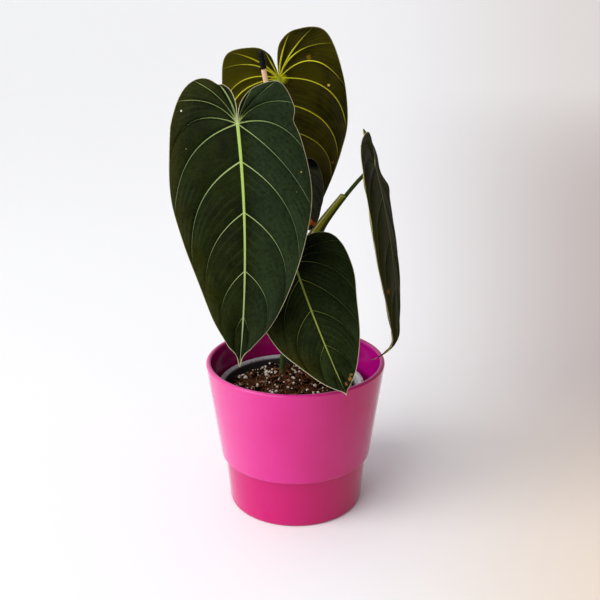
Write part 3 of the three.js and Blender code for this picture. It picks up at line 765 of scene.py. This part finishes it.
# One half of a blade as a grid of points, and the numbers that its materials read
def growHalf(leaf, side):
    length, scale = leafFrame(leaf)[4], leaf.get("veinScale", 1)
    veins = [0] + leaf["veins"][side] + [leafMake["lastMark"]]
    marks, roots = spreadBetween(veins), spreadBetween([0] + leaf["roots"] + [1]) * length
    phase = np.append(np.tile(leafMake["between"], len(veins) - 1), 0)
    edge = marginOf(leaf, side, marks, length)

    # curved lines from the midrib to the margin
    chordX, chordY = edge[:, 0], edge[:, 1] - roots
    bends = np.interp(marks, veins, [0] + leaf["bends"][side] + [0.1]) * np.minimum(marks / veins[1], 1)
    bends = bends * (-1, 1)[side]
    bendX, bendY = chordX / 2 + bends * chordY, roots + chordY / 2 - bends * chordX
    row = np.array(leafMake["rows"])[None, :]
    x = 2 * row * (1 - row) * bendX[:, None] + row ** 2 * edge[:, :1]
    y = (1 - row) ** 2 * roots[:, None] + 2 * row * (1 - row) * bendY[:, None] + row ** 2 * edge[:, 1:]
    flat = np.stack([x, y], axis=-1)

    # waves along the margin, and a bulge between the veins
    ripple = np.sin(marks / leafMake["lastMark"] * leaf["waveCount"] * 2 * math.pi)[:, None]
    bulge = 2 * (np.sin(phase * math.pi) ** 0.8)[:, None] - 1
    lift = leaf["wave"] * ripple * row ** 3 + leafMake["quilt"] * scale * bulge * 4 * row * (1 - row)

    # distances from veins and midrib, in their own widths, and from the margin, in millimetres
    spacing, heading = np.gradient(flat, marks, axis=0), np.gradient(flat, row[0], axis=1)
    crossed = np.abs(spacing[..., 0] * heading[..., 1] - spacing[..., 1] * heading[..., 0])
    gap = crossed / np.linalg.norm(heading, axis=-1).clip(1e-6)
    gap = gap * np.interp(marks, veins[:-1], np.diff(veins))[:, None]
    strength = np.interp(marks, veins, [0.05] + leaf["strengths"] + [0.05])[:, None]
    width = leafMake["veinWidth"] * scale * strength * (1.15 - 0.75 * row)
    width = width * np.clip((1 - row) / 0.12, 0.02, 1)
    offFine = np.abs(phase[:, None] - np.array(leafMake["fineLines"])).min(axis=1)[:, None]
    ribWidth = leaf["ribWidth"] * (1 - 0.72 * np.clip(y / length, 0, 1)) / 2
    values = {
        "vein": np.clip(np.minimum(phase, 1 - phase)[:, None] * gap / width.clip(0.02), 0, 8),
        "rib": np.clip(np.where(y >= 0, np.abs(x), np.hypot(x, y)) / ribWidth, 0, 8),
        "fine": np.clip(offFine * gap / 0.3, 0, 8),
        "edge": nearestOnLine(flat, edge),
        "half": np.clip(x / leaf["halfWidth"] * 2, -1, 1),
        "grow": y / length,
        "reach": row + np.zeros_like(x),
    }
    return bladePoints(leaf, x, y, lift, side), values


def normalsOf(points, faces):
    normals = np.zeros_like(points)
    for face in faces:
        a, b, c = points[face[0]], points[face[1]], points[face[2]]
        turn = np.cross(b - a, c - a)
        if len(face) == 4:
            turn = turn + np.cross(c - a, points[face[3]] - a)
        for corner in face:
            normals[corner] += turn
    return normals / np.linalg.norm(normals, axis=1).clip(1e-12)[:, None]


def growLeaf(leaf):
    grids, numbers = zip(*[growHalf(leaf, side) for side in (0, 1)])
    points = np.reshape(grids, (-1, 3))
    values = {key: np.ravel([half[key] for half in numbers]) for key in numbers[0]}
    index = np.arange(len(points)).reshape(2, *grids[0].shape[:2])
    a, b, c, d = index[:, :-1, :-1], index[:, :-1, 1:], index[:, 1:, 1:], index[:, 1:, :-1]
    cells = np.stack([a, b, c, d], axis=-1)
    cells[1] = cells[1][..., [0, 3, 2, 1]]    # the right half's cells turn the other way
    leftRim, rightRim = index[:, :, -1]

    # points that fall together become one
    keys = np.round(points / leafMake["weld"]).astype(np.int64)
    _, first, back = np.unique(keys, axis=0, return_index=True, return_inverse=True)
    back = back.ravel()
    points = points[first]
    values = {key: value[first] for key, value in values.items()}
    faces = [withoutRepeats(cell) for cell in back[cells.reshape(-1, 4)]]
    faces = [face for face in faces if len(set(face)) > 2]

    # thickness, with sunken veins above, and raised veins and a deep midrib underneath
    thin = leafMake["thickness"] / 2 * np.clip(0.45 + values["edge"] / 2, 0, 1)
    rib = np.exp(-(values["rib"] / 1.15) ** 2)
    vein = np.exp(-values["vein"] ** 2) * np.clip(values["edge"] / 2, 0, 1) * (1 - rib)
    rib = rib * np.clip(1 - values["grow"], 0, 1) ** 0.7 * np.clip(values["edge"] / 1.2, 0.3, 1)
    rise = thin - leafMake["veinSink"] * vein + leafMake["ribRise"] * rib
    sink = thin + leafMake["veinRidge"] * vein + leafMake["ribDepth"] * rib
    normals, count = normalsOf(points, faces), len(points)
    points = np.vstack([points + normals * rise[:, None], points - normals * sink[:, None]])
    loop = withoutRepeats(list(back[rightRim]) + list(back[leftRim][1:-1][::-1]))
    kinds = [0] * len(faces) + [1] * len(faces) + [0] * len(loop)
    faces = faces + [[corner + count for corner in reversed(face)] for face in faces]
    for corner, after in zip(loop, loop[1:] + loop[:1]):
        faces.append([corner, after, after + count, corner + count])
    values = {key: np.tile(value, 2) for key, value in values.items()}
    makePiece(f"{leaf['name']}_blade", points, faces, [upperMaterial(leaf), lowerMaterial(leaf)],
              f"blade_{leaf['name']}", values, kinds)


def upperMaterial(leaf):
    look = leaf["look"]
    paint = newPaint(f"{leaf['name']}VelvetTop", look["deep"])
    vein, rib, edge, half, grow, reach = map(paint.number, ("vein", "rib", "edge", "half", "grow", "reach"))
    patch = paint.noise(26, 4, 0.6)
    paint.fade(patch, 0.35, 0.65, look["green"])
    nearEdge = paint.remap(edge, 16, 2, 0, look["oliveShare"])
    paint.over(paint.times(paint.remap(half, -0.3, -0.95), nearEdge), look["olive"])
    # painted sheen: the bulges between the veins are painted paler, in clouds
    cloud = paint.remap(paint.noise(70), 0.3, 0.7, 0.1, 0.6)
    paint.over(paint.times(paint.remap(vein, 1, 7), cloud), look["between"])
    # painted sheen: a bluish grey laid over the right half of the blade
    paint.fade(half, -0.15, 0.6, look["paintedSheen"], look["paintedSheenShare"])
    # painted shade in the sunken valleys beside the veins
    paint.fade(vein, 3.2, 1.2, look["deep"], 0.55)
    paint.fade(paint.noise(380, 4, 0.65), 0.42, 0.66, look["deep"], 0.45)
    dusk = paint.remap(patch, 0.62, 0.4, 0, 0.6)
    paint.over(paint.times(paint.remap(rib, 8, 1), dusk), look["deep"])
    broken = paint.remap(paint.noise(38, 3, 0.6), 0.38, 0.68, 0, 0.12)
    paint.over(paint.times(paint.remap(paint.number("fine"), 4, 0), broken), look["fineVein"])
    paint.fade(paint.noise(900, 3, 0.65), 0.48, 0.72, look["between"], 0.5)
    paint.marks(look.get("spots", []))
    # pale veins that fade outwards, the midrib and the margin
    fading = paint.times(paint.remap(reach, 0, 0.7), paint.remap(grow, -0.12, 0.1, 0.25, 1))
    veinTone = paint.blend(fading, look["vein"], look["veinEnd"])
    paint.fade(vein, 1.25, 0.5, veinTone, look["veinShare"])
    ribTone = paint.blend(paint.remap(grow, 0.25, 0.9), look["rib"], look["ribTip"])
    paint.over(paint.times(paint.remap(rib, 1.15, 0.75), paint.remap(grow, -0.03, 0)), ribTone)
    paint.fade(edge, 0.55, 0.2, look["margin"], look["marginShare"])
    cells = paint.node("TexVoronoi", {"Vector": paint.place, "Scale": 1100}).outputs["Distance"]
    velvet = paint.maths("ADD", cells, paint.times(paint.noise(420, 4, 0.6), 1.4))
    rough = paint.remap(patch, 0.3, 0.7, look["roughness"] - 0.06, look["roughness"] + 0.06)
    return paint.finish(rough, velvet, 0.00035, 0.35, Sheen_Weight=look["sheen"], Sheen_Roughness=0.35,
                        Sheen_Tint=look["sheenTint"], Specular_IOR_Level=0.035)


def lowerMaterial(leaf):
    look = leaf["under"]
    paint = newPaint(f"{leaf['name']}Underside", look["deep"])
    vein, rib, edge, half, grow, reach = map(paint.number, ("vein", "rib", "edge", "half", "grow", "reach"))
    patch = paint.noise(30, 4, 0.6)
    paint.fade(patch, 0.35, 0.68, look["bronze"])
    paint.fade(vein, 6, 1, look["olive"], 0.35)
    paint.fade(paint.number("fine"), 1.4, 0.2, look["vein"], 0.025)
    paint.fade(half, 0, 0.8, look["olive"], 0.5)
    paint.marks(look.get("glow", []))
    veinTone = paint.blend(paint.remap(reach, 0.5, 1, 0, 0.5), look["vein"], look["olive"])
    paint.fade(vein, 1.15, 0.55, veinTone)
    paint.fade(rib, 1.5, 0.9, look["rib"])
    paint.fade(grow, 0.2, 0.65, look["tip"], 0.65)
    paint.fade(edge, 0.7, 0.2, look["margin"], 0.6)
    paint.marks(look.get("spots", []))
    paint.over(paint.spot(leaf["junction"], 7.5, 0.75), look["heart"])
    rough = paint.remap(patch, 0.3, 0.7, 0.36, 0.5)
    return paint.finish(rough, paint.noise(600, 4, 0.65), 0.0003, 0.35, Specular_IOR_Level=0.055)


# What the leaves look like. A spot is its centre, radius and colour
velvetLook = {
    # paintedSheen is a painted bluish sheen for a blade's right half
    "deep": (5, 8, 0), "green": (20, 27, 2), "paintedSheen": (40, 54, 34), "paintedSheenShare": 0.6,
    # between is a painted paler sheen on the bulges between the veins, also laid as fine specks
    "olive": (44, 40, 0), "oliveShare": 0.75, "between": (31, 39, 6), "fineVein": (74, 92, 58),
    "vein": (158, 178, 110), "veinEnd": (108, 126, 92), "veinShare": 0.9,
    "rib": (158, 184, 92), "ribTip": (140, 158, 110), "margin": (196, 190, 152), "marginShare": 0.7,
    "sheen": 0.008, "sheenTint": (0.5, 0.75, 0.55, 1.0), "roughness": 0.62,
}
underLook = {
    "deep": (26, 24, 0), "bronze": (54, 50, 0), "olive": (84, 80, 6), "vein": (206, 202, 44),
    "rib": (196, 200, 60), "margin": (128, 118, 60), "heart": (214, 214, 30), "tip": (46, 34, 6),
}
frontLook = velvetLook | {
    "spots": [((-80.9, -27.3, 324.9), 0.85, (186, 190, 160)), ((-76.8, -40.6, 299.8), 0.75, (128, 112, 56)),
              ((4.5, -58.2, 286.9), 0.75, (138, 136, 78)), ((1.4, -64.1, 274.1), 0.65, (84, 92, 46))],
}
backUnder = underLook | {
    "tip": (26, 20, 0), "glow": [((9, 28, 344), 18, (56, 52, 0))],
    "spots": [((10.2, 22.5, 358.6), 2.4, (104, 80, 14)), ((25.7, 29.4, 337.3), 1.2, (220, 180, 104)),
              ((30.4, 57.6, 272.5), 1.6, (100, 64, 12))],
}
youngLook = velvetLook | {
    "deep": (26, 26, 16), "green": (52, 54, 40), "paintedSheen": (52, 54, 42), "between": (64, 66, 50),
    "fineVein": (84, 82, 72), "vein": (72, 72, 56), "veinEnd": (60, 60, 48), "rib": (70, 80, 44),
    "ribTip": (96, 76, 34), "margin": (112, 104, 66), "roughness": 0.45,
    # the first spot, black, is a painted shadow under the back leaf
    "spots": [((15, 6.5, 284.5), 10, (2, 2, 1)), ((11.5, -4.5, 238), 2.8, (188, 92, 20)),
              ((15, -4.5, 236), 2.6, (176, 80, 16)), ((13, -4, 232), 3.6, (40, 18, 6))],
}
# The low leaf lies under the front leaf: its sheen and vein colours are darker than the front leaf's, in part
# painted shade
lowShadedLook = velvetLook | {
    "deep": (7, 9, 1), "green": (20, 26, 3), "paintedSheen": (22, 32, 12), "between": (38, 48, 18),
    "vein": (112, 124, 58), "veinEnd": (84, 96, 52), "rib": (136, 148, 62), "ribTip": (122, 132, 66),
    "marginShare": 0.85,
    # the first spot, large and nearly black, is a painted shadow cast by the front leaf
    "spots": [((-0.8, -38, 236), 34, (1, 2, 0)), ((36.6, -87.1, 139.3), 1.5, (158, 110, 62)),
              ((39.5, -85.5, 142.5), 1.9, (140, 100, 50)), ((40.4, -84.3, 145.6), 1.4, (120, 88, 48))],
}
sideLook = velvetLook | {
    "deep": (13, 14, 0), "green": (36, 39, 1), "paintedSheen": (38, 43, 10), "between": (46, 48, 9),
    "vein": (88, 96, 50), "veinEnd": (72, 78, 42), "rib": (118, 126, 66), "ribTip": (92, 98, 50),
    "spots": [((70, -37.8, 192.4), 2.6, (108, 64, 22))],
}

# Pairs are for a leaf's left and right halves, seen from its upper face with the tip down. A notch is a side,
# mark, depth and width. A dent is a side, its place across and along, its reach both ways, and its rise
leaves = [{
    "name": "front", "junction": (-39.8, -45, 318.1), "tip": (-39.4, -86, 152.2), "faces": (-0.15, -1, 0.2),
    "bow": 9, "sway": 6.5, "fold": (-6, -6), "cup": -5, "lobe": (-4, -5), "wave": 1.6, "waveCount": 3.5,
    "halfWidth": 52, "drip": 0.5, "ribWidth": 2.3, "look": frontLook, "under": underLook,
    "margins": ([(1.6, -15), (10, -27.5), (31.5, -34.2), (46, -20), (54.8, 18),
                 (56, 50), (47.4, 80), (36, 109), (23.4, 136.5), (8.8, 157)],
                [(1.6, -15), (10, -26.5), (27, -30.5), (38, -15), (41.8, 5),
                 (47, 46), (42, 81), (31.5, 115), (19.8, 141), (7, 158)]),
    "notches": [(1, 4.7, 2.2, 0.25), (0, 2.42, 2.8, 0.15)],
    "veins": ([2.35, 3.25, 4.08, 5.28, 6.45, 7.77, 8.71, 9.63, 10.4],
              [1.88, 2.89, 4.02, 5.38, 6.32, 7.47, 8.61, 9.5, 10.25]),
    "roots": [0, 0, 0, 0, 0, 0.154, 0.36, 0.597, 0.785],
    "bends": ([0.12, 0.17, 0.28, 0.57, 0.36, 0.37, 0.36, 0.36, 0.32],
              [0.05, 0.12, 0.37, 0.42, 0.14, 0.28, 0.38, 0.37, 0.2]),
    "strengths": [1.5, 1.5, 1.35, 1.15, 1.3, 1.1, 0.85, 0.55, 0.25],
}, {
    "name": "back", "junction": (-12.3, 35, 342), "tip": (7, 80, 203), "faces": (0.1, 1, 0.3),
    "bow": 6, "sway": 0, "fold": (-4, -4), "cup": -3, "lobe": (6, 6), "wave": 1.5, "waveCount": 3,
    "halfWidth": 51, "drip": 0.4, "ribWidth": 2.6, "veinScale": 0.68, "look": velvetLook, "under": backUnder,
    "margins": ([(0.8, -15), (5.6, -30.3), (18.8, -39.8), (40.9, -36.7), (49.9, -2),
                 (49.6, 38), (41.6, 66), (30.5, 93), (16.2, 120), (4.5, 138)],
                [(1.6, -10.5), (4.9, -22.3), (15, -28.6), (36, -25.4), (44.2, -3),
                 (47.5, 32), (42, 62), (31, 92), (17, 119), (5, 138)]),
    "veins": ([2.75, 3.6, 4.35, 5.28, 6.36, 7.4, 8.13, 8.9, 9.8],
              [2.3, 3.87, 4.61, 5.57, 6.4, 7.4, 8.2, 9, 9.9]),
    "roots": [0, 0, 0, 0, 0, 0.153, 0.32, 0.48, 0.68],
    "bends": ([0.1, 0.13, 0.36, 0.72, 0.55, 0.46, 0.5, 0.5, 0.4],
              [0.02, 0.21, 0.36, 0.46, 0.5, 0.45, 0.45, 0.45, 0.4]),
    "strengths": [0.6, 0.75, 0.9, 1, 1.2, 1.1, 0.9, 0.75, 0.5],
}, {
    "name": "side", "junction": (61.3, 10, 278.4), "tip": (78.9, -31.4, 133), "faces": (0.976, -0.24, 0.105),
    "bow": 5.6, "sway": 0, "fold": (-6.3, -2.1), "cup": 0, "lobe": (25, -6.9), "wave": 0.64, "waveCount": 3,
    "halfWidth": 44, "drip": 0.3, "ribWidth": 1.5, "look": sideLook, "under": underLook,
    "margins": ([(1.5, -10), (8, -20), (21.9, -24), (39, -14), (41.7, 10),
                 (42.2, 46), (41.5, 76), (31.4, 103), (17.5, 126), (2.6, 143)],
                [(1.5, -10), (9, -24), (36, -34), (38, -24), (45.2, 4),
                 (42.5, 42), (32, 70), (23.2, 97), (13.5, 121), (2.6, 140)]),
    "dents": [(1, 40, 2, 26, 13, -3.3), (1, 44, 13, 16, 8, 2.8), (0, 40, -10, 22, 18, 2)],
    "hook": (0.86, -19, -3),
    "veins": ([2.1, 2.9, 4.15, 5.4, 6.6, 8, 9, 10, 10.6],) * 2,
    "roots": [0, 0, 0, 0, 0, 0.16, 0.37, 0.62, 0.82],
    "bends": ([0.12, 0.26, 0.5, 0.55, 0.34, 0.42, 0.45, 0.45, 0.35],) * 2,
    "strengths": [0.5, 0.8, 1, 1, 1.1, 1, 0.85, 0.7, 0.4],
}, {
    "name": "low", "junction": (-0.8, -35, 215), "tip": (37, -90, 132), "faces": (0, -1, 0.6),
    "bow": 8, "sway": -2, "fold": (-5, -5), "cup": -3, "lobe": (-3, -3), "wave": 1.2, "waveCount": 3,
    "halfWidth": 41, "drip": 0.4, "ribWidth": 1.7, "veinScale": 0.8, "look": lowShadedLook, "under": underLook,
    "margins": ([(1.5, -8), (8, -16), (22, -20), (35, -13), (40.2, 4),
                 (37.8, 32), (32.5, 58), (23.4, 76), (13, 92.5), (4.2, 101.5)],
                [(1.5, -8), (8, -15.5), (22, -19.7), (34.6, -14.5), (40.2, 0),
                 (40.8, 22), (34.6, 45), (26.6, 70), (15, 91), (5, 101.5)]),
    "veins": ([2.3, 3.4, 4.5, 5.6, 6.8, 7.9, 8.75, 9.4, 10.3],
              [2.6, 3.7, 4.7, 5.68, 6.75, 7.73, 8.45, 9.36, 10.3]),
    "roots": [0, 0, 0, 0, 0, 0.14, 0.385, 0.64, 0.83],
    "bends": ([0.15, 0.25, 0.35, 0.45, 0.35, 0.3, 0.46, 0.3, 0.3],
              [0.15, 0.25, 0.31, 0.39, 0.33, 0.2, 0.33, 0.3, 0.3]),
    "strengths": [1.2, 1.3, 1.3, 1.1, 1, 0.95, 0.8, 0.6, 0.25],
}, {
    "name": "young", "junction": (4.5, 2, 276), "tip": (11.4, -4, 230.9), "faces": (0.1, -1, 0.1),
    "bow": 3, "sway": 1, "fold": (-8, -8), "cup": -2, "lobe": (-2, -2), "wave": 0.4, "waveCount": 2,
    "halfWidth": 16, "drip": 0, "ribWidth": 1.1, "veinScale": 0.4, "look": youngLook, "under": underLook,
    "margins": ([(0.5, -3.8), (2.7, -7.2), (8.6, -8.8), (13.4, -5), (15, 3.2),
                 (14.8, 13.5), (12.8, 22.5), (10, 31), (7.8, 37.5), (4.6, 42.5)],
                [(0.5, -3.7), (2.7, -7), (8.5, -8.6), (13.3, -4.8), (15.2, 3),
                 (15, 13), (13.4, 22), (9.9, 31), (7.6, 37.6), (4.7, 42.5)]),
    "veins": ([2, 3, 4, 5.3, 6.5, 8, 9, 10],) * 2, "roots": [0, 0, 0, 0, 0, 0.12, 0.3, 0.55],
    "bends": ([0.1, 0.25, 0.45, 0.5, 0.4, 0.4, 0.4, 0.3],) * 2,
    "strengths": [1, 1, 1, 1, 1, 1, 0.9, 0.8],
}]

for leaf in leaves:
    growLeaf(leaf)
    print(leaf["name"], "leaf grown")


# Petioles: tapered stalks from the stem to the underside of each blade. The side leaf's has a winged sheath

petioles = {
    "front": {"start": 0.66, "bends": [(-2, 29, 250), (-35, -12, 311)]},
    "back": {"start": 0.84, "bends": [(15, 26, 290), (-12.5, 10, 333)]},
    "side": {"start": 1, "bends": [(30, 18.5, 241), (48, 12, 268.5)]},
    "low": {"start": 0.45, "bends": [(-7, 8, 178), (-0.5, -14, 201)]},
    "young": {"start": 0.93, "bends": [(9, 13, 240), (3.6, 13, 275)]},
}
stalk = {
    "radius": 1.9, "topRadius": 1.45, "flare": 0.8, "seat": 0.3, "underBlade": 1.1, "sides": 26, "steps": 110,
    "green": (84, 100, 34), "dark": (40, 56, 16), "neck": (150, 164, 56),
}
sheath = {
    "end": 0.58, "wing": (6.3, 3.6), "halfWidth": (3.1, 2.2), "wall": 0.9, "flare": 2.4, "flareShare": 0.14,
    "corners": 15, "shade": (34, 52, 0), "tone": (146, 148, 2), "paleEdge": (212, 210, 160),
}


def petioleMaterial(name, sheathed):
    paint = newPaint(name, stalk["dark"])
    paint.fade(paint.noise(120, 4, 0.6), 0.35, 0.68, stalk["green"])
    if sheathed:
        # painted shade darkens the whole sheathed stalk; the wing colour goes over it
        paint.over(0.8, sheath["shade"])
        paint.over(paint.number("wing"), sheath["tone"])
        paint.over(paint.number("wingEdge"), sheath["paleEdge"])
    paint.over(paint.number("neck"), stalk["neck"])
    return paint.finish(0.4, paint.noise(800, 3, 0.6), 0.0002, 0.4, Specular_IOR_Level=0.15)


def petioleLine(leaf):
    junction, _, up, _, _ = leafFrame(leaf)
    plan = petioles[leaf["name"]]
    bendA, bendB = (np.array(bend, float) for bend in plan["bends"])
    points, direction = evenly(stemCurve, 400)
    spot = int(round(plan["start"] * 400))
    leave, rise = bendA - points[spot], direction[spot]
    clearance = stalk["seat"] + sheath["wall"]
    if plan["start"] < 1:
        leave = leave - leave.dot(rise) * rise
        clearance = stalk["seat"] + stemRadiusAt(plan["start"]) + stalk["radius"] + stalk["flare"]
    start, end = points[spot] + unit(leave) * clearance, junction - up * stalk["underBlade"]
    share = np.linspace(0, 1, 300)[:, None]
    return ((1 - share) ** 3 * start + 3 * share * (1 - share) ** 2 * bendA
            + 3 * share ** 2 * (1 - share) * bendB + share ** 3 * end)


def petioleRing(share):
    swell = stalk["flare"] * math.exp(-(share / 0.09) ** 2) + 0.25 * math.exp(-((share - 0.98) / 0.05) ** 2)
    return roundSection(between(stalk["radius"], stalk["topRadius"], share) + swell, stalk["sides"])


# A folded strip with two wings as far as the sheath's end, and a plain stalk above it
def sheathRing(share):
    fade = min(share / sheath["end"], 1)
    winged = float(np.clip((sheath["end"] - share) / 0.012, 0, 1))
    plain = between(stalk["radius"], stalk["topRadius"], share)
    plain += winged * sheath["flare"] * math.exp(-(share / sheath["flareShare"]) ** 2)
    halfWidth = between(plain, between(*sheath["halfWidth"], fade), winged)
    wall = between(0.1, sheath["wall"], winged)
    inner = between(plain, sheath["wall"] - plain, winged)
    angles = math.pi * (0.5 + np.linspace(0, 1, sheath["corners"]))
    rise = winged * between(*sheath["wing"], fade) * np.sin(angles) ** 4
    outer = np.stack([rise + plain * np.cos(angles), halfWidth * np.sin(angles)], axis=1)
    back = np.stack([rise - inner * np.cos(angles), (halfWidth - wall) * np.sin(angles)], axis=1)[::-1]
    return np.vstack([outer, back])


def makePetiole(leaf):
    name, steps, sheathed = leaf["name"], stalk["steps"], leaf["name"] == "side"
    towards, section = ((-0.7, -0.2, 0.7), sheathRing) if sheathed else ((0.3, -1, 0.1), petioleRing)
    rings = sweep(petioleLine(leaf), steps, unit(towards), section)
    points, faces = tubeFrom(rings)
    sides = rings.shape[1]
    shares = np.repeat(np.linspace(0, 1, steps + 1), sides)
    values = {"neck": np.clip((shares - 0.9) * 16 + 0.2, 0, 0.85)}
    if sheathed:    # its two folded ends are closed in strips
        faces = faces[:-2] + [[a + base, a + 1 + base, sides - 2 - a + base, sides - 1 - a + base]
                              for base in (0, steps * sides) for a in range(sides // 2 - 1)]
        turn = np.linspace(-1, 1, sheath["corners"])
        turn = np.tile(np.abs(np.concatenate([turn, -turn])), steps + 1)
        values["wing"] = np.clip(turn * 7 - 4, 0, 1) * (shares < sheath["end"])
        values["wingEdge"] = (turn > 0.9) * (shares < sheath["end"]) * 0.9
    makePiece(f"{name}_stalk", points, faces, [petioleMaterial(f"{name}Stalk", sheathed)],
              f"petiole_{name}", values)


for leaf in leaves:
    makePetiole(leaf)
print("petioles made")
